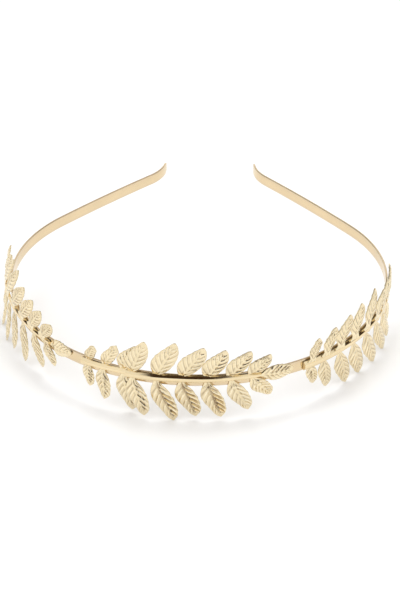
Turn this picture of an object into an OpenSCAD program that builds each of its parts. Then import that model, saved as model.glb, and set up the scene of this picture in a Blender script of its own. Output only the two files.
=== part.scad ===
// Leaf headband: a springy flat strip bent to a horseshoe, with stamped leaf sprigs fixed to its outer face.
// Units are millimetres. The front of the hoop faces -Y, up is +Z, and the lowest leaf tips stand on z = 0.

/* [View] */
// Piece to show

/* [Band] */
// Width of the flat strip, measured upwards
band_width = 4.4; // [3:0.1:8]
// Thickness of the strip
band_thickness = 0.85; // [0.6:0.05:1.6]
// Width of the small bevel along the strip's edges
band_bevel = 0.15; // [0.05:0.05:0.3]
// Radius of the front half of the hoop
front_radius = 69.6; // [60:0.1:80]
// Angle each half of the front arc turns through
front_sweep = 90.5; // [80:0.5:100]
// Radius of the tighter bend behind the ears
rear_radius = 59.4; // [45:0.1:75]
// Angle that bend turns through
rear_sweep = 37.7; // [25:0.1:50]
// Radius of the nearly straight arms behind it
arm_radius = 650; // [300:10:1200]
// Angle the left arm turns through
left_arm_sweep = 4.45; // [3:0.05:7]
// Angle the right arm turns through
right_arm_sweep = 4.6; // [3:0.05:7]
// Radius of the outward flick at each end
flick_radius = 19; // [12:0.5:30]
// Angle the flick turns back through
flick_sweep = 42; // [20:1:50]

/* [Sprigs] */
// Arc position of the left sprig's cut end, from the front centre
left_start = -114.8; // [-122:0.1:-108]
// Arc position of the short front piece's cut end
center_start = -39.0; // [-42:0.1:-37]
// Length kept of the short front piece
short_length = 18.1; // [17:0.1:18.2]
// Arc position of the main front sprig's cut end
main_start = -20.7; // [-22:0.1:-20]
// Place on the full stamping where the main front sprig was cut
main_cut = 14.9; // [14:0.1:15.5]
// Arc position of the right sprig's cut end
right_start = 40.9; // [40:0.1:44]
// Stretch of the left sprig along the band
left_spread = 1.01; // [0.9:0.01:1.1]
// Stretch of the right sprig along the band
right_spread = 0.95; // [0.9:0.01:1.1]
// Air left between a sprig and the band
seat_gap = 0.25; // [0.1:0.05:0.4]
// Extra stand-off at the cut end of the main front sprig, over the short piece
overlap_rise = 1.1; // [0.6:0.05:1.5]
// Distance over which that stand-off dies out
overlap_reach = 20; // [10:1:30]
// Extra stand-off at the left sprig's cut end
left_rise = 1.0; // [0:0.1:3]
// Distance over which the left stand-off dies out
left_reach = 58; // [30:1:70]
// Height of the short front piece against the band's middle, at its cut end and at its far end
short_height = [0.3, 0.6]; // [-0.4:0.05:1]
// Height of the main front sprig against the band's middle, at its cut end and at its tip
main_height = [0.75, 0.35]; // [-0.4:0.05:1]
// Height of the left sprig against the band's middle, at its cut end and at its tip
left_height = [0.35, 0.35]; // [-0.4:0.05:1]
// Height of the right sprig against the band's middle, at its cut end and at its tip
right_height = [-0.3, -0.3]; // [-0.4:0.05:1]
// Upward lean of the right sprig's tip leaf
right_tip_rise = 22; // [0:1:40]
// Upward lean of the left and front sprigs' tip leaves
tip_rise = 5; // [0:1:20]

/* [Stem] */
// Width of the half-round stem at its cut end
stem_width = 3.7; // [2.5:0.1:5]
// Height of the stem over its flat back
stem_height = 1.3; // [0.8:0.05:2]
// Share of its size that the stem keeps at the tip leaf
stem_taper = 0.5; // [0.3:0.05:1]
// Depth of the hollow in the cut end
recess_depth = 1.2; // [0.5:0.1:2]
// Length of each straight step along the stem
stem_step = 3.8; // [2:0.1:6]

/* [Leaves] */
// Thickness of the leaf sheet
sheet = 0.55; // [0.3:0.05:0.8]
// Height of the pressed veins
vein_height = 0.22; // [0:0.02:0.5]
// Height of the pressed midrib
rib_height = 0.25; // [0:0.05:0.6]
// Number of folds along a leaf
folds = 6; // [5:1:9]
// How far the veins run forward, as a share of the leaf length
vein_slant = 0.13; // [0:0.01:0.25]
// Dishing of the leaf from midrib to edge
leaf_dish = 0.35; // [0:0.05:1]
// Length of the tip leaf
tip_leaf_length = 12.2; // [8:0.1:16]
// Width of the tip leaf
tip_leaf_width = 5.8; // [4:0.1:8]
// Place of the tip leaf's foot on the full stamping
tip_leaf_start = 60.6; // [60:0.1:66]

/* [Placing] */
// Height of the band's middle over the ground
ride_height = 15.46; // [8:0.01:24]
// Distance from the hoop's front to the middle of the whole
front_to_middle = 77.98; // [60:0.01:90]
// Sideways shift that centres the whole
side_shift = 0.89; // [-5:0.01:5]

/* [Hidden] */
$fn = 64;
gold = [0.86, 0.72, 0.42];
pale_gold = [0.93, 0.82, 0.58];
front_length = front_radius * front_sweep * PI / 180;
joint_inset = 0.01;
turned = front_sweep + rear_sweep;
// Pairs of leaves on the full stamping, from the cut end:
// upper foot, lower foot, width
pairs = [
  [3.1, 3.3, 4.8],
  [9.4, 9.3, 5.8],
  [16.6, 17.0, 7.2],
  [24.9, 25.0, 7.5],
  [33.2, 33.4, 7.4],
  [41.6, 42.0, 7.2],
  [49.0, 50.1, 6.6],
  [56.2, 57.1, 5.8]
];
// Set of the leaves on each sprig, a row for each pair from the cut end:
// upper length, upper lean, upper tip outward, lower length, lower lean, lower tip outward
left_set = [
  [9.8, 14, -1.4, 8.7, 9, 1.2],
  [11.8, 26, -2.6, 12.4, 6, 2.0],
  [14.6, 24, -3.4, 15.9, 9, 2.5],
  [15.9, 27, -3.4, 16.4, 20, 2.6],
  [15.5, 35, -2.3, 15.0, 17, 2.1],
  [13.5, 34, -1.7, 15.1, 18, 1.7],
  [13.1, 34, -0.4, 13.7, 24, -0.3],
  [10.8, 38, 0.2, 10.1, 41, 0.1]
];
short_set = [
  [8.2, 22, 0.1, 8.8, 8, 0.6],
  [10.8, 28, -0.8, 12.1, 5, 0.9],
  [11.8, 25, -1.3, 15.0, 12, -0.3]
];
main_set = [
  [0, 0, 0, 0, 0, 0],
  [0, 0, 0, 0, 0, 0],
  [15.1, 20, -0.2, 15.4, 18, 1.0],
  [16.0, 26, -0.7, 17.2, 22, 0.5],
  [15.5, 32, 0, 15.3, 20, 0.1],
  [13.5, 31, -0.3, 15.4, 19, 0.7],
  [13.2, 37, -0.1, 14.1, 26, 0.2],
  [11.1, 43, 0.2, 10.5, 42, 0.2]
];
right_set = [
  [9.6, 21, 0, 8.6, 8, -0.3],
  [11.5, 26, -0.3, 12.0, 5, 0.2],
  [13.8, 18, 0.9, 15.2, 14, 0],
  [14.3, 16, 0.2, 15.5, 15, 0.3],
  [15.5, 32, -1.4, 15.6, 18, 1.3],
  [11.7, 33, 0.2, 16.2, 22, 1.4],
  [12.5, 36, -0.5, 15.0, 21, 1.2],
  [10.8, 42, -0.5, 10.0, 36, 0.3]
];
// Half-width of a leaf along its length, as shares of length and of half-width:
// the side towards the cut end is fullest early, the side towards the sprig's tip late
near_side = [[0, 0.24], [0.1, 0.58], [0.22, 0.9], [0.38, 1.06], [0.5, 1.02], [0.65, 0.78], [0.8, 0.5], [0.92, 0.26], [1, 0.1]];
far_side = [[0, 0.24], [0.1, 0.5], [0.22, 0.76], [0.4, 0.94], [0.6, 0.98], [0.75, 0.88], [0.86, 0.67], [0.95, 0.38], [1, 0.12]];

// Centreline of the hoop at an arc position, and the way it runs there
function heading(s) = let(a = abs(s)) sign(s) * (a < front_length ? a / front_radius : front_sweep * PI / 180 + (a - front_length) / rear_radius) * 180 / PI;
function arc_end() = [front_radius * sin(front_sweep), front_radius * (1 - cos(front_sweep))];
function rear_center() = arc_end() + rear_radius * [-sin(front_sweep), cos(front_sweep)];
function on_band(s) = let(h = abs(heading(s)), w = s < 0 ? -1 : 1,
  p = abs(s) < front_length ? front_radius * [sin(h), 1 - cos(h)] : rear_center() + rear_radius * [sin(h), -cos(h)])
  [w * p[0], p[1]];

// A curved length of the strip; a small inset lets one length run into the next inside it
module strip(radius, sweep, inset = 0) {
  rotate_extrude(angle = sweep) translate([radius, 0]) strip_section(inset);
}

module strip_section(inset) {
  w = band_width / 2 - inset;
  t = band_thickness / 2 - inset;
  b = band_bevel;
  polygon([[-t, b - w], [b - t, -w], [t - b, -w], [t, b - w], [t, w - b], [t - b, w], [b - t, w], [-t, w - b]]);
}

// Outline of a strip end seen square on: straight edges and a round nose
module end_outline(reach) {
  translate([-2 * reach, -band_width / 2]) square([3 * reach - band_width / 2, band_width]);
  translate([reach - band_width / 2, 0]) circle(r = band_width / 2);
}

// One side of the hoop behind the front arc; each joint overlaps by a short reach
module band_side(arm_sweep) {
  arm_turn = turned + arm_sweep;
  rc = rear_center();
  lap = 0.3;
  function over(radius) = lap / radius * 180 / PI;
  translate([rc[0], rc[1], 0]) rotate([0, 0, front_sweep - 90 - over(rear_radius)])
    strip(rear_radius, rear_sweep + 2 * over(rear_radius), joint_inset);
  re = rc + rear_radius * [sin(turned), -cos(turned)];
  ac = re + arm_radius * [-sin(turned), cos(turned)];
  translate([ac[0], ac[1], 0]) rotate([0, 0, turned - 90]) strip(arm_radius, arm_sweep);
  ae = ac + arm_radius * [sin(arm_turn), -cos(arm_turn)];
  fc = ae + flick_radius * [sin(arm_turn), -cos(arm_turn)];
  last = arm_turn - flick_sweep;
  chord = 2 * flick_radius * sin(flick_sweep / 2);
  intersection() {
    translate([fc[0], fc[1], 0]) rotate([0, 0, last + 90]) strip(flick_radius, flick_sweep + over(flick_radius), joint_inset);
    translate([ae[0], ae[1], 0]) rotate([0, 0, arm_turn - flick_sweep / 2]) rotate([90, 0, 0])
      translate([0, 0, -6]) linear_extrude(12) end_outline(chord);
  }
}

module band() color(gold) placed() {
  translate([0, front_radius, 0]) rotate([0, 0, -90 - front_sweep]) strip(front_radius, 2 * front_sweep);
  band_side(right_arm_sweep);
  mirror([1, 0, 0]) band_side(left_arm_sweep);
}

// Puts a piece on the outer face of the band at an arc position
module at(s, out) {
  p = on_band(s);
  translate([p[0], p[1], 0]) rotate([0, 0, heading(s)]) translate([0, -out, 0]) children();
}

module placed() translate([side_shift, -front_to_middle, ride_height]) children();

function smooth(t) = let(u = min(max(t, 0), 1)) u * u * (3 - 2 * u);
function seat(rise, reach, along) = band_thickness / 2 + seat_gap + rise * (1 - smooth(along / reach));

// One thin half-round slice of the stem, its flat side on the band
module stem_slice(size) {
  rotate([90, 0, 90]) linear_extrude(0.05)
    polygon([for (k = [0 : 6]) let(a = -90 + 30 * k) [-stem_height * size * cos(a), stem_width / 2 * size * sin(a)]]);
}

// Half-round stem from one arc position to another
module stem(start, length, rise, reach, size0, height) {
  steps = ceil(length / stem_step);
  function size(k) = size0 - (size0 - stem_taper) * smooth(k / steps);
  function along(k) = length * k / steps;
  function up(k) = height[0] + (height[1] - height[0]) * k / steps;
  difference() {
    for (k = [0 : steps - 1]) hull() {
      at(start + along(k), seat(rise, reach, along(k))) translate([0, 0, up(k)]) stem_slice(size(k));
      at(start + along(k + 1), seat(rise, reach, along(k + 1))) translate([0, 0, up(k + 1)]) stem_slice(size(k + 1));
    }
    hull() {
      at(start, seat(rise, reach, 0) - 0.3) translate([-0.5, 0, height[0]]) stem_slice(size0 * 0.66);
      at(start, seat(rise, reach, 0) - 0.3) translate([recess_depth, 0, height[0]]) stem_slice(size0 * 0.6);
    }
  }
}

// Half-width at a share of the length; far is 1 on the side towards the sprig's tip, -1 on the other and 0 on a tip leaf
function half_width(u, far) = far > 0 ? lookup(u, far_side) : far < 0 ? lookup(u, near_side) : (lookup(u, far_side) + lookup(u, near_side)) / 2;

// One pressed leaf along +X, its width along Z and its face to -Y; it arches until its tip is that much further out,
// and facing says on which side, +Z or -Z, the sprig's tip lies
module leaf(length, width, outward = 0, facing = 0) {
  n = folds;
  function slant(u) = vein_slant * sin(180 * min(1, u * 0.5 + 0.5)) * min(1, 4 * u);
  function across(j) = (j - 2) / 2;
  function fade(u) = min(1, 0.3 + 3 * u) * (u == 1 ? 0.4 : 1);
  function where(i, j) = let(u = i / n) u + slant(u) * abs(across(j));
  function lift(i, j) = let(v = abs(across(j)))
    leaf_dish * (1 - v * v) + (v == 0 ? rib_height : v < 1 ? vein_height * (i % 2) : vein_height * 0.6 * (i % 2));
  function point(i, j, deep) = let(u = where(i, j))
    [u * length, -(lift(i, j) * fade(i / n) + outward * u * u + (deep ? 0 : sheet)),
      across(j) * half_width(u, facing * sign(across(j))) * width / 2];
  points = concat(
    [for (i = [0 : n]) for (j = [0 : 4]) point(i, j, false)],
    [for (i = [0 : n]) for (j = [0 : 4]) point(i, j, true)]
  );
  m = (n + 1) * 5;
  function at_grid(i, j) = i * 5 + j;
  edge = concat(
    [for (j = [0 : 3]) [at_grid(0, j), at_grid(0, j + 1)]],
    [for (i = [0 : n - 1]) [at_grid(i, 4), at_grid(i + 1, 4)]],
    [for (j = [3 : -1 : 0]) [at_grid(n, j + 1), at_grid(n, j)]],
    [for (i = [n - 1 : -1 : 0]) [at_grid(i + 1, 0), at_grid(i, 0)]]
  );
  faces = concat(
    [for (i = [0 : n - 1]) for (j = [0 : 3]) for (h = [0, 1])
      h ? [at_grid(i, j), at_grid(i + 1, j + 1), at_grid(i + 1, j)] : [at_grid(i, j), at_grid(i, j + 1), at_grid(i + 1, j + 1)]],
    [for (i = [0 : n - 1]) for (j = [0 : 3]) for (h = [0, 1])
      h ? [m + at_grid(i + 1, j), m + at_grid(i + 1, j + 1), m + at_grid(i, j)] : [m + at_grid(i + 1, j + 1), m + at_grid(i, j + 1), m + at_grid(i, j)]],
    [for (e = edge) for (h = [0, 1]) h ? [e[1], m + e[0], m + e[1]] : [e[1], e[0], m + e[0]]]
  );
  polyhedron(points = points, faces = faces, convexity = 6);
}

// A length of the full stamping, from one place on it to another, laid along the band
module sprig(start, from, to, spread, height, rise, reach, set, tip) {
  length = (to - from) * spread;
  function up(along) = height[0] + (height[1] - height[0]) * along / length;
  module foot(x) {
    along = (x - from) * spread;
    at(start + along, seat(rise, reach, along)) translate([0, 0, up(along)]) children();
  }
  stem(start, length, rise, reach, from > 0 ? 0.92 : 1, height);
  for (i = [0 : len(pairs) - 1]) if (pairs[i][0] > from && pairs[i][0] < to) {
    p = pairs[i];
    leaf_set = set[i];
    foot(p[0]) rotate([0, leaf_set[1] - 90, 0]) leaf(leaf_set[0], p[2], leaf_set[2], -1);
    foot(p[1]) rotate([0, 90 - leaf_set[4], 0]) leaf(leaf_set[3], p[2], leaf_set[5], 1);
  }
  if (tip) foot(tip_leaf_start) rotate([0, -tip, 0]) leaf(tip_leaf_length, tip_leaf_width);
}

module left_sprig() color(pale_gold) placed()
  sprig(left_start, 0, tip_leaf_start, left_spread, left_height, left_rise, left_reach, left_set, tip_rise);

module center_base_sprig() color(pale_gold) placed()
  sprig(center_start, 0, short_length, 1, short_height, 0, 1, short_set, false);

module center_sprig() color(pale_gold) placed()
  sprig(main_start, main_cut, tip_leaf_start, 1, main_height, overlap_rise, overlap_reach, main_set, tip_rise);

module right_sprig() color(pale_gold) placed()
  sprig(right_start, 0, tip_leaf_start, right_spread, right_height, 0, 1, right_set, right_tip_rise);

band();
left_sprig();
center_base_sprig();
center_sprig();
right_sprig();
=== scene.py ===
import math
from collections import namedtuple

import bpy
import numpy as np
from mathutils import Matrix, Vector


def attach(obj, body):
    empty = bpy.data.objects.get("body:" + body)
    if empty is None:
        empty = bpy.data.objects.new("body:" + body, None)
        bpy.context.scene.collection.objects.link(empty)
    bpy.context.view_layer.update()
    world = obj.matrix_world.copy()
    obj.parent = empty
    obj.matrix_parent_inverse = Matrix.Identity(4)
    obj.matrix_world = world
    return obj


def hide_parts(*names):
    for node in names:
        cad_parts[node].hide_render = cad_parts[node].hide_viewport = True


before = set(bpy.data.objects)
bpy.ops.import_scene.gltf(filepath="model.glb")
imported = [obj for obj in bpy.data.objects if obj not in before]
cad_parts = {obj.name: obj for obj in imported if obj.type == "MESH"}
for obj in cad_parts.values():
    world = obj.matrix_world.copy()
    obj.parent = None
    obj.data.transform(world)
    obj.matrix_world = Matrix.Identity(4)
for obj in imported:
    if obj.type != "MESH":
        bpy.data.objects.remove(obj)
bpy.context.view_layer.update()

MM = 0.001

# Named sizes, in millimetres and degrees. A place along the band is an arc length from its
# front middle, to the right as positive.
BAND_WIDTH, BAND_THICKNESS, BAND_CORNER = 4.4, 0.85, 0.3
BAND_STATION, CORNER_POINTS = 0.6, 5
NOSE_LENGTH, NOSE_RISE, NOSE_STATIONS, NOSE_LEAST = 3.4, 0.9, 26, 0.02
FRONT_RADIUS, FRONT_SWEEP = 69.6, 90.5
REAR_RADIUS, REAR_SWEEP = 59.4, 37.7
ARM_RADIUS, LEFT_ARM_SWEEP, RIGHT_ARM_SWEEP = 650.0, 4.45, 4.6
FLICK_RADIUS, FLICK_SWEEP = 19.0, 42.0

# Takes points counted from the band's front middle to the part's frame
SHIFT = np.array([0.89, -77.98, 15.46])

SEAT_GAP = 0.25
STEM_STATION, SECTION_STEPS, STEM_RAISE, RAISE_REACH = 0.4, 26, 0.4, 20
TIP_START, TIP_WIDTH = 60.6, 5.8
MAIN_CUT, SHORT_LENGTH, SHORT_CUT = 14.9, 18.1, 1.0

# Leaves: their sheet, how far they are dished, and the feet that fold over the side sprigs'
# stems
SHEET, THIN_FOOT, DISH, RIM_OUT = 0.5, 0.12, 0.35, 0.14
FOOT_LAP, FOOT_COVER, FOOT_DIP, FOOT_ROUND = 0.85, 0.85, 0.12, 0.8
FOOT_WIDTH, FOOT_FLARE = 0.68, 0.25
ROUND_TIP = 0.045

# Pressed relief of a leaf: seven veins at each side
VEINS, ROWS_PER_VEIN, COLUMNS = 7, 12, 27
ROWS = VEINS * ROWS_PER_VEIN + 1
VEIN_LEAN = (0.23, 0.27)
MIDRIB_HEIGHT, MIDRIB_VALLEY, FINE_LINE = 0.30, 0.12, 0.13
BEAD_PLACE, BEAD_HEIGHT, BEAD_RADIUS = 0.925, 0.24, 0.26

# Values of the relief attribute, which paint shade and highlight into the gold: 0 is a valley in
# painted shade, 0.5 is plain metal,
# 1 is a ridge with a painted highlight. The strip has painted shade along both edges.
PLAIN, STEM_RELIEF, RIM_RELIEF = 0.5, 0.6, 0.62
EDGE_WIDTH, EDGE_SHADE = 0.4, 0.45

# Material slots of a sprig
LEAF, STEM = 0, 1

# Pairs of leaves from the cut end: upper foot, lower foot, width
PAIRS = [(3.1, 3.3, 4.8), (9.4, 9.3, 5.8), (16.6, 17.0, 7.2), (24.9, 25.0, 7.5),
         (33.2, 33.4, 7.4), (41.6, 42.0, 7.2), (49.0, 50.1, 6.6), (56.2, 57.1, 5.8)]

# Leaves of each sprig, six values for each pair: upper length, upper lean, upper tip outward,
# lower length, lower lean, lower tip outward
LEFT_SET = [(9.8, 14, -1.4, 8.7, 9, 1.2), (11.8, 26, -2.6, 12.4, 6, 2.0),
            (14.6, 24, -3.4, 15.9, 9, 2.5), (15.9, 27, -3.4, 16.4, 20, 2.6),
            (15.5, 35, -2.3, 15.0, 17, 2.1), (13.5, 34, -1.7, 15.1, 18, 1.7),
            (13.1, 34, -0.4, 13.7, 24, -0.3), (10.8, 38, 0.2, 10.1, 41, 0.1)]
SHORT_SET = [(8.2, 22, 0.1, 8.8, 8, 0.6), (10.8, 28, -0.8, 12.1, 5, 0.9),
             (11.8, 25, -1.3, 15.0, 12, -0.3)]
MAIN_SET = [None, None,
            (15.1, 20, -0.2, 15.4, 18, 1.0), (16.0, 26, -0.7, 17.2, 22, 0.5),
            (15.5, 32, 0, 15.3, 20, 0.1), (13.5, 31, -0.3, 15.4, 19, 0.7),
            (13.2, 37, -0.1, 14.1, 26, 0.2), (11.1, 43, 0.2, 10.5, 42, 0.2)]
RIGHT_SET = [(9.6, 21, 0, 8.6, 8, -0.3), (11.5, 26, -0.3, 12.0, 5, 0.2),
             (13.8, 18, 0.9, 15.2, 14, 0), (14.3, 16, 0.2, 15.5, 15, 0.3),
             (15.5, 32, -1.4, 15.6, 18, 1.3), (11.7, 33, 0.2, 16.2, 22, 1.4),
             (12.5, 36, -0.5, 15.0, 21, 1.2), (10.8, 42, -0.5, 12.4, 26, -0.3)]

# Size of a stem's section along the sprig, as a share of the full section
SIDE_STEM = np.array([(0, 0.93), (5, 0.86), (12, 0.79), (22, 0.73), (38, 0.66), (TIP_START, 0.45)])
SHORT_STEM = np.array([(0, 0.8), (5, 0.66), (SHORT_LENGTH, 0.56)])
MAIN_STEM = np.array([(MAIN_CUT, 0.7), (24, 0.8), (38, 0.77), (48, 0.64), (TIP_START, 0.44)])

# Full section of the stem from its lower edge to its upper one: outward, up
STEM_SECTION = np.array([
    (0.0, -1.85), (0.35, -1.8), (0.66, -1.62), (0.95, -1.28), (1.15, -0.85), (1.26, -0.35), (1.3, 0.3),
    (1.26, 0.68), (1.17, 0.9), (1.04, 1.04), (0.58, 1.44), (0.12, 1.86), (0.0, 1.88)])

# Half-width of a leaf along its length: full early on the side towards the cut end, late on
# the side towards the sprig's tip
NEAR_SIDE = np.array([(0, .16), (.08, .3), (.16, .66), (.26, .93), (.38, 1.04), (.5, 1.0),
                      (.65, .78), (.8, .5), (.92, .26), (1, .1)])
FAR_SIDE = np.array([(0, .12), (.1, .2), (.2, .4), (.3, .6), (.45, .79), (.6, .85),
                     (.75, .79), (.86, .62), (.95, .36), (1, .12)])

# A sprig: where its cut end is on the band, the stretch of the stamping that it has, how far
# that is stretched, where its stem starts, its height at both ends, how far its cut end stands
# off the band and over what length that goes, its stem and leaves, how dark the painted shade
# in the creases of its lower leaves is, which pairs have a deep groove, and its tip leaf's
# rise, length, share of the tip's width and bend (1 follows the band's curve)
Sprig = namedtuple("Sprig", "start first last spread cut height rise reach stem leaves crease "
                            "grooved tip_rise tip_length tip_width tip_bend")
SPRIGS = {
    "left_sprig": Sprig(-114.8, 0, TIP_START, 1.01, 0, (0.35, 0.35), 1.0, 58, SIDE_STEM,
                        LEFT_SET, 1.0, (), 5, 11.0, 1.12, 0.95),
    "center_base_sprig": Sprig(-39.0, 0, SHORT_LENGTH, 1.0, SHORT_CUT, (0.3, 0.6), 0, 1, SHORT_STEM,
                               SHORT_SET, 0.7, (), None, 0, 0, 0),
    "center_sprig": Sprig(-20.7, MAIN_CUT, TIP_START, 1.0, 0, (0.75, 0.35), 1.1, 20, MAIN_STEM,
                          MAIN_SET, 0.7, (3, 4, 5), 3, 11.7, 1.12, 0.4),
    "right_sprig": Sprig(40.9, 0, TIP_START, 0.95, 0, (-0.3, -0.3), 0, 1, SIDE_STEM,
                         RIGHT_SET, 0.7, (), 29, 13.6, 0.95, 0.95),
}

# Colours of plain metal, of painted shade in the valleys and of painted highlight on the ridges,
# roughness range, and the fine grain
GOLDS = {
    "leaf_gold": dict(plain=(0.88, 0.75, 0.50), painted_shade=(0.22, 0.12, 0.045), painted_highlight=(0.97, 0.88, 0.68),
                      rough=(0.13, 0.24), grain=1500, bump=0.35),
    "stem_gold": dict(plain=(0.88, 0.72, 0.45), painted_shade=(0.30, 0.17, 0.06), painted_highlight=(0.93, 0.80, 0.55),
                      rough=(0.07, 0.14), grain=700, bump=0.05),
    "band_gold": dict(plain=(0.80, 0.64, 0.41), painted_shade=(0.70, 0.56, 0.38), painted_highlight=(0.93, 0.82, 0.6),
                      rough=(0.14, 0.22), grain=1800, bump=0.08, drawn=True),
}
CLOUD_SCALE, SMEAR_SCALE, BUMP_DISTANCE = 90, 260, 0.00012

# Camera, at the photograph's angle
CAMERA_PLACE = np.array([29.5, -435.12, 302.1])
CAMERA_AIM = np.array([1.4, 51.123, 0.0])
CAMERA_LENS = 94.58

FLOOR_HALF, FLOOR_LEVEL, FLOOR_TONE = 1.3, -0.00005, 0.93
WHITE_ROOM, DARK_ROOM, BACKDROP = (1.0, 1.0, 1.0), (0.05, 0.03, 0.015), (0.97, 0.97, 0.97)


# Path of the hoop
def arcs(arm_sweep):
    """Radius and sweep of each arc from the front middle to one end; the flick turns outward."""
    return [(FRONT_RADIUS, math.radians(FRONT_SWEEP)), (REAR_RADIUS, math.radians(REAR_SWEEP)),
            (ARM_RADIUS, math.radians(arm_sweep)), (-FLICK_RADIUS, math.radians(FLICK_SWEEP))]


ARCS = {1: arcs(RIGHT_ARM_SWEEP), -1: arcs(LEFT_ARM_SWEEP)}
SIDE_LENGTH = {k: sum(abs(r) * a for r, a in v) for k, v in ARCS.items()}


def on_path(s):
    """Point and heading (radians) of the hoop's middle line at a place along the band."""
    side = -1 if s < 0 else 1
    left = abs(s)
    x = y = heading = 0.0
    last = len(ARCS[side]) - 1
    for i, (radius, sweep) in enumerate(ARCS[side]):
        turn = left / abs(radius)
        if i < last:
            turn = min(turn, sweep)
        turn = turn if radius > 0 else -turn
        cx, cy = x - radius * math.sin(heading), y + radius * math.cos(heading)
        heading += turn
        x, y = cx + radius * math.sin(heading), cy - radius * math.cos(heading)
        left -= abs(radius * turn)
        if left <= 1e-9:
            break
    return side * x, y, side * heading


def at(s, out, pts):
    """Puts local points (X along the band, -Y outward, Z up) at a place along the band."""
    x, y, heading = on_path(s)
    c, n = math.cos(heading), math.sin(heading)
    px, py = pts[:, 0], pts[:, 1] - out
    return np.stack([x + c * px - n * py, y + n * px + c * py, pts[:, 2]], 1)


def rot_y(degrees):
    a = math.radians(degrees)
    return np.array([[math.cos(a), 0, math.sin(a)], [0, 1, 0], [-math.sin(a), 0, math.cos(a)]])


def smooth(t):
    """Smooth step from 0 to 1."""
    u = np.clip(t, 0.0, 1.0)
    return u * u * (3.0 - 2.0 * u)


def soften(values, window):
    """Running mean over an odd number of samples, with the end values held."""
    mean = np.ones(window) / window
    return np.convolve(np.pad(values, window // 2, mode="edge"), mean, mode="valid")


class Shell:
    """Collects points, faces, a material index and a relief value for one piece; the relief value sets
    painted shade and painted highlight.
    """

    def __init__(self):
        self.points, self.faces, self.slots, self.relief, self.n = [], [], [], [], 0

    def add(self, pts, faces, slot, relief):
        """Adds points and faces; relief is one value for each point, or one for all."""
        self.points.append(pts)
        self.relief.append(np.broadcast_to(relief, len(pts)))
        self.faces += [tuple(int(v) + self.n for v in f) for f in faces]
        self.slots += [slot] * len(faces)
        self.n += len(pts)

    def make(self, name, mats):
        """Makes the mesh and its object."""
        pts = (np.concatenate(self.points) + SHIFT) * MM
        mesh = bpy.data.meshes.new(name)
        mesh.from_pydata(pts.tolist(), [], self.faces)
        mesh.polygons.foreach_set("material_index", np.array(self.slots, dtype=np.int32))
        mesh.polygons.foreach_set("use_smooth", np.ones(len(self.slots), dtype=bool))
        relief = mesh.attributes.new("relief", "FLOAT", "POINT")
        relief.data.foreach_set("value", np.concatenate(self.relief).astype(np.float32))
        for mat in mats:
            mesh.materials.append(mat)
        mesh.validate()
        mesh.update()
        ob = bpy.data.objects.new(name, mesh)
        bpy.context.scene.collection.objects.link(ob)
        return ob


def grid_faces(rows, columns, base=0, flip=False):
    """Quads of a grid of points."""
    out = []
    for i in range(rows - 1):
        for j in range(columns - 1):
            a, b = base + i * columns + j, base + (i + 1) * columns + j
            out.append((a, b, b + 1, a + 1) if flip else (a, a + 1, b + 1, b))
    return out


# Leaves
def half_width(x, far, blunt):
    """Half-width of a leaf, closed by a round tip; far is 1 on the side towards the sprig's
    tip and -1 on the other."""
    fine = np.linspace(0, 1, 401)

    def side(table):
        return np.interp(x, fine, soften(np.interp(fine, table[:, 0], table[:, 1]), 25))

    share = 0.5 + 0.5 * far
    w = side(FAR_SIDE) * share + side(NEAR_SIDE) * (1 - share)
    w = w + 1.6 * (blunt - ROUND_TIP) * np.exp(-((x - 0.9) / 0.12) ** 2)
    nose = np.clip((x - 1 + blunt) / blunt, 0, 1)
    return w * np.sqrt(np.clip(1.0 - nose * nose * 0.985, 0, 1))


def leaf_grid(rng):
    """Rows that follow the veins (p counts veins, u is the share of the length at the midrib)
    and columns v from edge to edge."""
    run = np.cumsum(1 + rng.uniform(-0.14, 0.14, VEINS))
    run = np.concatenate([[0], run]) / run[-1]
    p = np.linspace(0, VEINS, ROWS)
    u = np.interp(p, np.arange(VEINS + 1), run)
    v = np.linspace(-1, 1, COLUMNS)[None, :]
    return p[:, None], u[:, None], np.sign(v) * np.abs(v) ** 0.9


def crinkles(rng, x, v):
    """Fine unevenness of the pressed sheet, from nine waves."""
    out = np.zeros_like(x * v)
    for _ in range(9):
        fx, fz = rng.uniform(5, 26), rng.uniform(2, 13)
        out = out + rng.uniform(0.008, 0.022) * np.sin(fx * x * 2 + fz * v + rng.uniform(0, 6))
    return out


def closed_sheet(outer, inner, length):
    """Joins both faces of a leaf by a ring that stands a little out, so the edge is round."""
    ring = ([(0, j) for j in range(COLUMNS)] + [(i, COLUMNS - 1) for i in range(1, ROWS)]
            + [(ROWS - 1, j) for j in range(COLUMNS - 2, -1, -1)]
            + [(i, 0) for i in range(ROWS - 2, 0, -1)])
    idx = np.array([i * COLUMNS + j for i, j in ring])
    rim = (outer[idx] + inner[idx]) / 2
    middle = np.clip(rim[:, 0], 0.25 * length, 0.8 * length)
    away = rim - np.stack([middle, rim[:, 1], np.zeros(len(rim))], 1)
    away /= np.linalg.norm(away, axis=1)[:, None] + 1e-9
    back, edge = len(outer), 2 * len(outer)
    faces = grid_faces(ROWS, COLUMNS) + grid_faces(ROWS, COLUMNS, back, True)
    for a in range(len(idx)):
        b = (a + 1) % len(idx)
        faces.append((idx[b], idx[a], edge + a, edge + b))
        faces.append((back + idx[a], back + idx[b], edge + b, edge + a))
    return np.concatenate([outer, inner, rim + away * RIM_OUT]), faces


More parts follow.
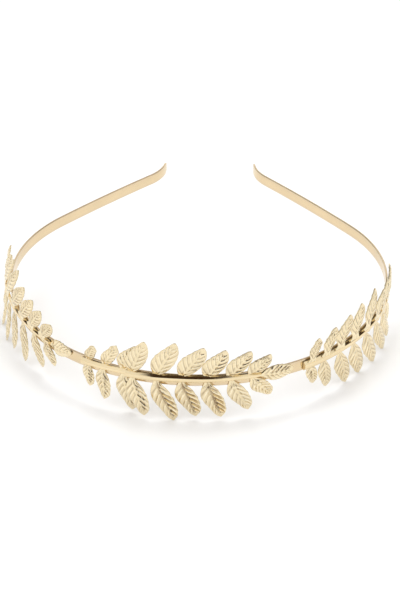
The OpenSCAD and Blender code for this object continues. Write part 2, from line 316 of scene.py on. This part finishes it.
def leaf(length, width, seed, outward=0.0, facing=0, depth=0.34, step=0.34, flip=False,
         crease=0.7, grooved=False, blunt=ROUND_TIP, fine=0.0, bead=False, cover=0.0):
    """Points, faces and relief of one pressed leaf along +X, width along Z, face to -Y.

    outward moves the tip out. facing is 1 where +Z is the side towards the sprig's tip, -1
    where it is the other, 0 for a tip leaf. depth, step and flip give the veins' height, the
    share of the steep step and its direction. crease is how dark the painted shade in the
    valleys is. grooved makes the midrib a groove. fine adds second lines between the veins,
    and bead a bead near the tip. cover is how far the foot arches out over the stem; it also keeps the
    foot wide.
    """
    rng = np.random.default_rng(seed)
    p, u, v = leaf_grid(rng)
    av = np.abs(v)
    far = facing * np.sign(v)
    slant = rng.uniform(*VEIN_LEAN) * smooth(u / 0.22) * np.minimum(1, (1 - u) / 0.32) ** 0.9
    x = np.clip(u + slant * (0.75 * av + 0.25 * av ** 2), 0, 1)
    body = smooth(av / 0.2) * (1 - 0.6 * smooth((av - 0.72) / 0.28))
    ends = smooth(u / 0.12) * (1 - smooth((x - 0.84) / 0.14))

    # Veins: each rises in a steep narrow step and falls gently
    saw = p - np.floor(p)
    turn = 1 - saw if flip else saw
    fall = 1 - (np.maximum(turn - step, 0) / (1 - step)) ** 0.9
    fold = np.where(turn < step, 0.5 * turn / step + 0.5 * smooth(turn / step), fall)
    swing = 1 + rng.uniform(-0.15, 0.15) * np.sin(p * 1.7 + rng.uniform(0, 6))
    strong = np.where(far > 0, 1.0, 0.45) if grooved else 1.0
    veins = depth * (width / 7.0) ** 0.5 * fold * body * ends * swing * strong
    # Finer second lines between the veins, stronger on the side towards the cut end
    twice = fine * np.where(far < 0, 1.0, 0.25) * np.exp(-((saw - 0.62) / 0.1) ** 2)
    veins = veins - FINE_LINE * twice * body * ends

    # Midrib, raised or grooved, thinner towards the tip, with a valley at each side
    rib_w = (0.15 - 0.08 * u) * 6.5 / width
    rib_line = np.exp(-(av / rib_w) ** 2)
    rib = MIDRIB_HEIGHT * rib_line * (1 - 0.5 * u) * (1 - smooth((u - 0.82) / 0.18))
    if grooved:
        rib = -0.7 * rib
    gap = np.exp(-((av - 2.0 * rib_w) / (0.8 * rib_w)) ** 2) * ends

    # Outline; a foot that covers the stem is wide and flares into it
    w = half_width(x, far, blunt)
    flare = FOOT_WIDTH + FOOT_FLARE * (1 - smooth(x * length / 1.6))
    w = np.maximum(w, flare * cover * (1 - smooth((x * length - 1.6) / 3.2)))
    across = v * w * width / 2
    scallop = 1 + 0.02 * np.sin(2 * np.pi * p + 1.2) * ends
    z = across * np.where(av > 0.9, scallop, 1.0)

    # Height of the face over the flat sheet, calm near the foot
    crinkle = crinkles(rng, x, v)
    curl = rng.uniform(-0.2, 0.2) * smooth((u - 0.6) / 0.4)
    calm = 0.04 + 0.96 * smooth((x * length - 1.1) / 3.2)
    cup = DISH * (1 - av ** 2) * smooth((1 - x) / 0.3)
    lift = (cup + veins + rib - MIDRIB_VALLEY * gap) * calm + crinkle * ends + curl
    if bead:
        off = ((x - BEAD_PLACE) * length) ** 2 + across ** 2
        lift = lift + BEAD_HEIGHT * np.exp(-off / BEAD_RADIUS ** 2)

    # Both faces; a covering foot is round, arches out and dips back at its very end
    covers = 1.0 if cover else 0.0
    along = x * length
    along = along - FOOT_ROUND * covers * (1 - v ** 2) * (1 - smooth(along / 2.0))
    arch = outward * x ** 2 + cover * (1 - smooth((along - 0.6) / 4.0))
    arch = arch - FOOT_DIP * covers * (1 - smooth(along / 0.7))
    sheet = THIN_FOOT + (SHEET - THIN_FOOT) * smooth((along - 1.6) / 2.2)
    outer = np.stack([along, -(lift + arch + sheet), z], -1).reshape(-1, 3)
    inner = np.stack([along, -(lift * 0.98 + arch), z], -1).reshape(-1, 3)
    pts, faces = closed_sheet(outer, inner, length)

    # Relief tone, painted into the colour: painted shade in the valleys, beside the midrib, along the
    # finer lines and a grooved midrib; painted highlight on the ridges
    valley_shade = np.exp(-(np.minimum(saw, 1 - saw) / 0.11) ** 2)
    painted_highlight = np.exp(-((turn - step) / 0.12) ** 2) * body * ends
    shade_line = np.maximum(valley_shade, 0.6 * twice) * smooth((av - 0.04) / 0.1)
    shade_line = shade_line * (1 - 0.5 * smooth((av - 0.8) / 0.2)) * ends
    beside_shade = np.where(far > 0, 1.2 if grooved else 0.9, 0.8)
    shade_line = np.maximum(shade_line, beside_shade * gap * (1 - 0.4 * u))
    if grooved:
        shade_line = np.maximum(shade_line, 1.2 * rib_line * ends)
    shade_patch = 0.75 + 0.25 * np.sin(x * 9 + rng.uniform(0, 6)) * np.cos(v * 3 + rng.uniform(0, 6))
    shade_line = shade_line * np.where(av > 1.5 * rib_w, 0.4 + 0.6 * strong, 1.0)
    face_shading = np.clip(PLAIN - 0.5 * crease * shade_line * shade_patch + 0.4 * painted_highlight, 0, 1).reshape(-1)
    relief = np.concatenate([face_shading, face_shading, np.full(len(pts) - 2 * len(face_shading), RIM_RELIEF)])
    return pts, faces, relief


# How the leaves of each kind are pressed. Upper leaves of the two pairs nearest the cut end
# are narrower and blunter.
SMALL_PAIRS, SMALL_WIDTH, SMALL_BLUNT, UPPER_BLUNT = 2, 0.84, 0.2, 0.05
UPPER = dict(facing=-1, depth=0.27, step=0.3, flip=True, fine=1.0)
LOWER = dict(facing=1, bead=True, blunt=0.1)
GROOVED_LOWER = dict(LOWER, depth=0.9, crease=1.0, grooved=True)
TIP = dict(crease=0.8, blunt=0.08)


# Sprigs
def stem_length(sprig):
    return (sprig.last - sprig.first) * sprig.spread


def seat(sprig, along):
    """How far out of the band's middle the sprig's back is."""
    return BAND_THICKNESS / 2 + SEAT_GAP + sprig.rise * (1.0 - smooth(along / sprig.reach))


def stem_level(sprig, along):
    low, high = sprig.height
    return low + (high - low) * along / stem_length(sprig)


def section(size):
    """Section of the stem, flat on the band: a round face and a flatter upper flank."""
    run = np.cumsum(np.linalg.norm(np.diff(STEM_SECTION, axis=0), axis=1))
    run = np.concatenate([[0], run])
    even = np.linspace(0, run[-1], 200)
    pick = np.linspace(0, 199, SECTION_STEPS + 1)
    y, z = (np.interp(pick, np.arange(200), soften(np.interp(even, run, STEM_SECTION[:, c]), 15))
            for c in (0, 1))
    y[0] = y[-1] = 0.0
    return y * (0.45 + 0.55 * size), z * size


def add_stem(shell, sprig):
    """Half-round stem with a flat back and a cut end."""
    length = stem_length(sprig)
    count = max(12, int(length / STEM_STATION))
    stations = np.linspace(sprig.cut, length, count)
    sizes = np.interp(sprig.first + stations, sprig.stem[:, 0], sprig.stem[:, 1])
    n = SECTION_STEPS + 1

    def ring(along, size):
        y, z = section(size)
        up = stem_level(sprig, along) + STEM_RAISE * smooth((sprig.first + along) / RAISE_REACH)
        return at(sprig.start + along, seat(sprig, along), np.stack([np.zeros(n), -y, z + up], 1))

    rings = [ring(along, size) for along, size in zip(stations, sizes)]
    pts = np.concatenate(rings)
    shell.add(pts, grid_faces(count, n, 0, True), STEM, STEM_RELIEF)
    # Flat back and far end, with edges of their own
    back = np.stack([pts[0::n], pts[n - 1::n]], 1).reshape(-1, 3)
    faces = [(2 * i + 2, 2 * i, 2 * i + 1, 2 * i + 3) for i in range(count - 1)]
    shell.add(back, faces, STEM, STEM_RELIEF)
    shell.add(rings[-1], [list(range(n))[::-1]], STEM, STEM_RELIEF)
    # Cut end: a flat face with a dark line of painted shade inside its rim, standing in for the shadow
    # of a recess
    shares = (1.0, 0.9, 0.8, 0.68, 0.2)
    reliefs = (STEM_RELIEF, PLAIN, 0.0, STEM_RELIEF, STEM_RELIEF)
    cap = [ring(stations[0], sizes[0] * share) for share in shares]
    faces = grid_faces(len(cap), n) + [[(len(cap) - 1) * n + k for k in range(n)]]
    shell.add(np.concatenate(cap), faces, STEM, np.repeat(reliefs, n))


def add_leaf(shell, sprig, place, angle, length, width, seed, lap=0.0, **pressed):
    """Puts a leaf on a sprig; lap is how far over the stem's middle its foot starts."""
    along = (place - sprig.first) * sprig.spread
    pts, faces, relief = leaf(length, width, seed, **pressed)
    pts = pts @ rot_y(angle).T
    pts[:, 2] += stem_level(sprig, along) + lap
    shell.add(at(sprig.start + along, seat(sprig, along), pts), faces, LEAF, relief)


def build_sprig(name, mats):
    sprig = SPRIGS[name]
    front = name.startswith("center")
    shell = Shell()
    add_stem(shell, sprig)
    # On the side sprigs the upper leaves' feet fold over the stem
    lap, cover = (0.0, 0.0) if front else (FOOT_LAP, FOOT_COVER)
    upper_crease_shade, upper_width = (0.7, 1.0) if front else (0.95, 0.92)
    seed = sum(map(ord, name))
    for i, (upper, lower, width) in enumerate(PAIRS):
        if not sprig.first < upper < sprig.last:
            continue
        up_length, up_lean, up_out, low_length, low_lean, low_out = sprig.leaves[i]
        small = i < SMALL_PAIRS
        # Length and lean that bring the tip of a leaf with a raised foot to the same place
        lean = math.radians(up_lean)
        side, rest = up_length * math.sin(lean), up_length * math.cos(lean) - lap
        up_lean = math.degrees(math.atan2(side, rest))
        add_leaf(shell, sprig, upper, up_lean - 90, math.hypot(side, rest),
                 width * (SMALL_WIDTH if small else upper_width), seed + i, lap=lap,
                 outward=up_out, crease=upper_crease_shade, cover=cover,
                 blunt=SMALL_BLUNT if small else UPPER_BLUNT, **UPPER)
        pressed = GROOVED_LOWER if i in sprig.grooved else dict(LOWER, crease=sprig.crease)
        add_leaf(shell, sprig, lower, 90 - low_lean, low_length, width, seed + 50 + i,
                 outward=low_out, **pressed)
    if sprig.tip_rise is not None:
        sag = sprig.tip_length ** 2 / (2 * FRONT_RADIUS)
        add_leaf(shell, sprig, TIP_START, -sprig.tip_rise, sprig.tip_length,
                 TIP_WIDTH * sprig.tip_width, seed + 99, outward=-sag * sprig.tip_bend, **TIP)
    return shell.make(name + "_leaves", mats)


# Band
def band_profile():
    """Section of the strip with round corners, as outward and up."""
    y, z = BAND_THICKNESS / 2 - BAND_CORNER, BAND_WIDTH / 2 - BAND_CORNER
    arc = []
    for cy, cz, begin in ((y, z, 0), (-y, z, 90), (-y, -z, 180), (y, -z, 270)):
        for k in range(CORNER_POINTS):
            a = math.radians(begin + 90 * k / (CORNER_POINTS - 1))
            arc.append((cy + BAND_CORNER * math.cos(a), cz + BAND_CORNER * math.sin(a)))
    arc = np.array(arc)
    out = []
    for p, q in zip(arc, np.roll(arc, -1, axis=0)):
        out.append(p)
        # Points along the two wide faces
        if np.linalg.norm(q - p) > 1:
            out += [p + (q - p) * share for share in (0.25, 0.5, 0.75)]
    return np.array(out)


def band_stations():
    """Places of the strip's sections, closer together at its rounded ends."""
    def side(k):
        nose = np.linspace(0, 1, NOSE_STATIONS) ** 2 * NOSE_LENGTH
        arm = np.arange(NOSE_LENGTH + 0.5, SIDE_LENGTH[k], BAND_STATION)
        return SIDE_LENGTH[k] - np.concatenate([nose, arm])

    return np.concatenate([-side(-1), side(1)[::-1]])


def build_band(mats):
    prof = band_profile()
    stations = band_stations()
    n, count = len(prof), len(stations)
    loops = []
    for s in stations:
        # Half an ellipse rounds the end off
        end = min(SIDE_LENGTH[-1 if s < 0 else 1] - abs(s), NOSE_LENGTH)
        share = math.sqrt(max(0.0, 1 - ((NOSE_LENGTH - end) / NOSE_LENGTH) ** 2))
        share = max(share, NOSE_LEAST)
        thin = min(1.0, 0.35 + share)
        up = prof[:, 1] * share + NOSE_RISE * (1 - share)
        loops.append(at(s, 0.0, np.stack([np.zeros(n), prof[:, 0] * thin, up], 1)))
    faces = []
    for i in range(count - 1):
        for a in range(n):
            b = (a + 1) % n
            faces.append((i * n + a, (i + 1) * n + a, (i + 1) * n + b, i * n + b))
    faces.append(list(range(n)))
    faces.append([(count - 1) * n + k for k in range(n)][::-1])
    # Painted shade along both edges of the strip, darker than its plain face
    shaded_edge = np.abs(prof[:, 1]) > BAND_WIDTH / 2 - EDGE_WIDTH
    shell = Shell()
    shell.add(np.concatenate(loops), faces, 0, np.tile(PLAIN - EDGE_SHADE * shaded_edge, count))
    ob = shell.make("band_strip", mats)
    # Coordinates along and across the strip, for the drawn grain
    uv = ob.data.uv_layers.new(name="along")
    vert = np.zeros(len(ob.data.loops), dtype=np.int32)
    ob.data.loops.foreach_get("vertex_index", vert)
    along = np.repeat(stations, n)[vert] * MM
    across = np.tile(prof[:, 1], count)[vert] * MM
    uv.data.foreach_set("uv", np.stack([along, across], 1).ravel())
    return ob


# Nodes
def add_node(tree, kind, **values):
    node = tree.nodes.new(kind)
    for key, value in values.items():
        setattr(node, key, value)
    return node


def give(tree, socket, value):
    """Links an output to a socket, or sets a number or a colour on it."""
    if isinstance(value, bpy.types.NodeSocket):
        tree.links.new(value, socket)
    elif isinstance(value, tuple) and len(value) == 3:
        socket.default_value = (*value, 1)
    else:
        socket.default_value = value


def ramp(tree, factor, stops):
    node = add_node(tree, "ShaderNodeValToRGB")
    give(tree, node.inputs["Fac"], factor)
    for element, (place, colour) in zip(node.color_ramp.elements, stops):
        element.position = place
        element.color = (*colour, 1)
    return node.outputs["Color"]


def blend(tree, factor, first, second):
    node = add_node(tree, "ShaderNodeMix", data_type="RGBA")
    for socket, value in zip((node.inputs["Factor"], node.inputs[6], node.inputs[7]),
                             (factor, first, second)):
        give(tree, socket, value)
    return node.outputs[2]


def noise(tree, vector, scale, detail):
    node = add_node(tree, "ShaderNodeTexNoise")
    give(tree, node.inputs["Vector"], vector)
    give(tree, node.inputs["Scale"], scale)
    give(tree, node.inputs["Detail"], detail)
    return node.outputs["Fac"]


def map_range(tree, value, low, high, to=(0.0, 1.0), kind="LINEAR"):
    node = add_node(tree, "ShaderNodeMapRange", interpolation_type=kind)
    for key, number in zip(("From Min", "From Max", "To Min", "To Max"), (low, high, *to)):
        give(tree, node.inputs[key], number)
    give(tree, node.inputs["Value"], value)
    return node.outputs["Result"]


def gold(name, plain, painted_shade, painted_highlight, rough, grain, bump, drawn=False):
    """Gold plating with painted shade in the valleys of the relief and a painted highlight on its
    ridges, cloudy and grained; drawn stretches the grain along the strip."""
    black, white = (0, 0, 0), (1, 1, 1)
    mat = bpy.data.materials.new(name)
    mat.use_nodes = True
    tree = mat.node_tree
    bsdf = tree.nodes["Principled BSDF"]
    bsdf.inputs["Metallic"].default_value = 1.0
    place = add_node(tree, "ShaderNodeTexCoord").outputs["Object"]
    relief = add_node(tree, "ShaderNodeAttribute", attribute_name="relief").outputs["Fac"]

    cloudy = ramp(tree, noise(tree, place, CLOUD_SCALE, 4),
                  [(0.32, tuple(c * 0.93 for c in plain)), (0.68, plain)])
    # Painted shade where the relief attribute is low, painted highlight where it is high
    highlight_mask = ramp(tree, relief, [(0.55, black), (0.9, white)])
    shade_mask = ramp(tree, relief, [(0.0, white), (0.47, black)])
    colour = blend(tree, shade_mask, blend(tree, highlight_mask, cloudy, painted_highlight), painted_shade)
    give(tree, bsdf.inputs["Base Color"], colour)

    smear = noise(tree, place, SMEAR_SCALE, 5)
    give(tree, bsdf.inputs["Roughness"], map_range(tree, smear, 0.3, 0.7, rough))

    if drawn:
        stretch = add_node(tree, "ShaderNodeMapping")
        stretch.inputs["Scale"].default_value = (0.04, 1.0, 1.0)
        along = add_node(tree, "ShaderNodeUVMap", uv_map="along").outputs["UV"]
        give(tree, stretch.inputs["Vector"], along)
        place = stretch.outputs["Vector"]
    bumps = add_node(tree, "ShaderNodeBump")
    bumps.inputs["Strength"].default_value = bump
    bumps.inputs["Distance"].default_value = BUMP_DISTANCE
    give(tree, bumps.inputs["Height"], noise(tree, place, grain, 3))
    give(tree, bsdf.inputs["Normal"], bumps.outputs["Normal"])
    return mat


# The part
gold_mats = {name: gold(name, **values) for name, values in GOLDS.items()}
for name in SPRIGS:
    piece = build_sprig(name, [gold_mats["leaf_gold"], gold_mats["stem_gold"]])
    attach(piece, "root")
    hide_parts(name)
strip = build_band([gold_mats["band_gold"]])
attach(strip, "root")
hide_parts("band")

# Camera
cam = bpy.data.objects.new("camera", bpy.data.cameras.new("camera"))
bpy.context.scene.collection.objects.link(cam)
cam.location = Vector((CAMERA_PLACE + SHIFT) * MM)
aim = Vector((CAMERA_AIM + SHIFT) * MM) - cam.location
cam.rotation_mode = "QUATERNION"
cam.rotation_quaternion = aim.to_track_quat("-Z", "Y")
cam.data.sensor_width = 36.0
cam.data.lens = CAMERA_LENS
cam.data.clip_start, cam.data.clip_end = 0.01, 20.0
bpy.context.scene.camera = cam

# Pale floor
corners = [(-1, -1), (1, -1), (1, 1), (-1, 1)]
floor_mesh = bpy.data.meshes.new("floor")
floor_mesh.from_pydata([(x * FLOOR_HALF, y * FLOOR_HALF, FLOOR_LEVEL) for x, y in corners], [],
                       [(0, 1, 2, 3)])
floor = bpy.data.objects.new("floor", floor_mesh)
bpy.context.scene.collection.objects.link(floor)
floor_mat = bpy.data.materials.new("floor_white")
floor_mat.use_nodes = True
floor_bsdf = floor_mat.node_tree.nodes["Principled BSDF"]
floor_bsdf.inputs["Base Color"].default_value = (FLOOR_TONE, FLOOR_TONE, FLOOR_TONE, 1)
floor_bsdf.inputs["Roughness"].default_value = 0.9
floor_bsdf.inputs["Specular IOR Level"].default_value = 0.1
floor_mesh.materials.append(floor_mat)

# Soft studio light: a bright room with dark gaps in its ceiling, which the polished metal
# reflects; the camera itself sees a plain backdrop
world = bpy.context.scene.world or bpy.data.worlds.new("studio")
bpy.context.scene.world = world
world.use_nodes = True
room = world.node_tree
room.nodes.clear()


def room_math(kind, a, b):
    node = add_node(room, "ShaderNodeMath", operation=kind)
    give(room, node.inputs[0], a)
    give(room, node.inputs[1], b)
    return node.outputs[0]


def above(value, low, high):
    """0 where the value is under low, 1 where it is over high, smooth between them."""
    return map_range(room, value, low, high, kind="SMOOTHSTEP")


def below(value, low, high):
    return room_math("SUBTRACT", 1.0, above(value, low, high))


direction = add_node(room, "ShaderNodeSeparateXYZ")
give(room, direction.inputs["Vector"], add_node(room, "ShaderNodeTexCoord").outputs["Generated"])
x, y, z = (direction.outputs[k] for k in "XYZ")
aside = room_math("ABSOLUTE", x, 0.0)
# A gap down the middle of the ceiling, which comes low behind the camera
overhead = above(z, 0.50, 0.57)
behind = room_math("MULTIPLY", above(z, 0.04, 0.12), below(y, -0.5, -0.3))
middle_gap = room_math("MULTIPLY", below(aside, 0.2, 0.3), room_math("MAXIMUM", overhead, behind))
# A gap over the back at each side
rear_high = room_math("MULTIPLY", above(z, 0.34, 0.42), above(aside, 0.33, 0.42))
side_gap = room_math("MULTIPLY", above(y, 0.08, 0.2), rear_high)
# Far towards the back the room is bright again
dark = room_math("MULTIPLY", room_math("MAXIMUM", middle_gap, side_gap), below(y, 0.72, 0.8))
seen = add_node(room, "ShaderNodeLightPath").outputs["Is Camera Ray"]
backdrop = add_node(room, "ShaderNodeBackground")
reflected = blend(room, dark, WHITE_ROOM, DARK_ROOM)
give(room, backdrop.inputs["Color"], blend(room, seen, reflected, BACKDROP))
backdrop.inputs["Strength"].default_value = 1.0
room_out = add_node(room, "ShaderNodeOutputWorld")
give(room, room_out.inputs["Surface"], backdrop.outputs["Background"])


def softbox(name, place, size, power):
    """Square light aimed at the part, not seen in its reflections."""
    data = bpy.data.lights.new(name, "AREA")
    data.shape, data.size, data.energy = "SQUARE", size, power
    light = bpy.data.objects.new(name, data)
    bpy.context.scene.collection.objects.link(light)
    light.location = Vector(place)
    light.rotation_mode = "QUATERNION"
    light.rotation_quaternion = (-light.location).to_track_quat("-Z", "Y")
    light.visible_glossy = False


softbox("sky", (0.0, 0.1, 1.6), 2.6, 18)
softbox("top", (0.0, 0.45, 1.5), 0.5, 4.5)
softbox("front", (0.2, -1.2, 0.9), 1.6, 4)

view = bpy.context.scene.view_settings
view.view_transform = "Standard"
view.look = "None"
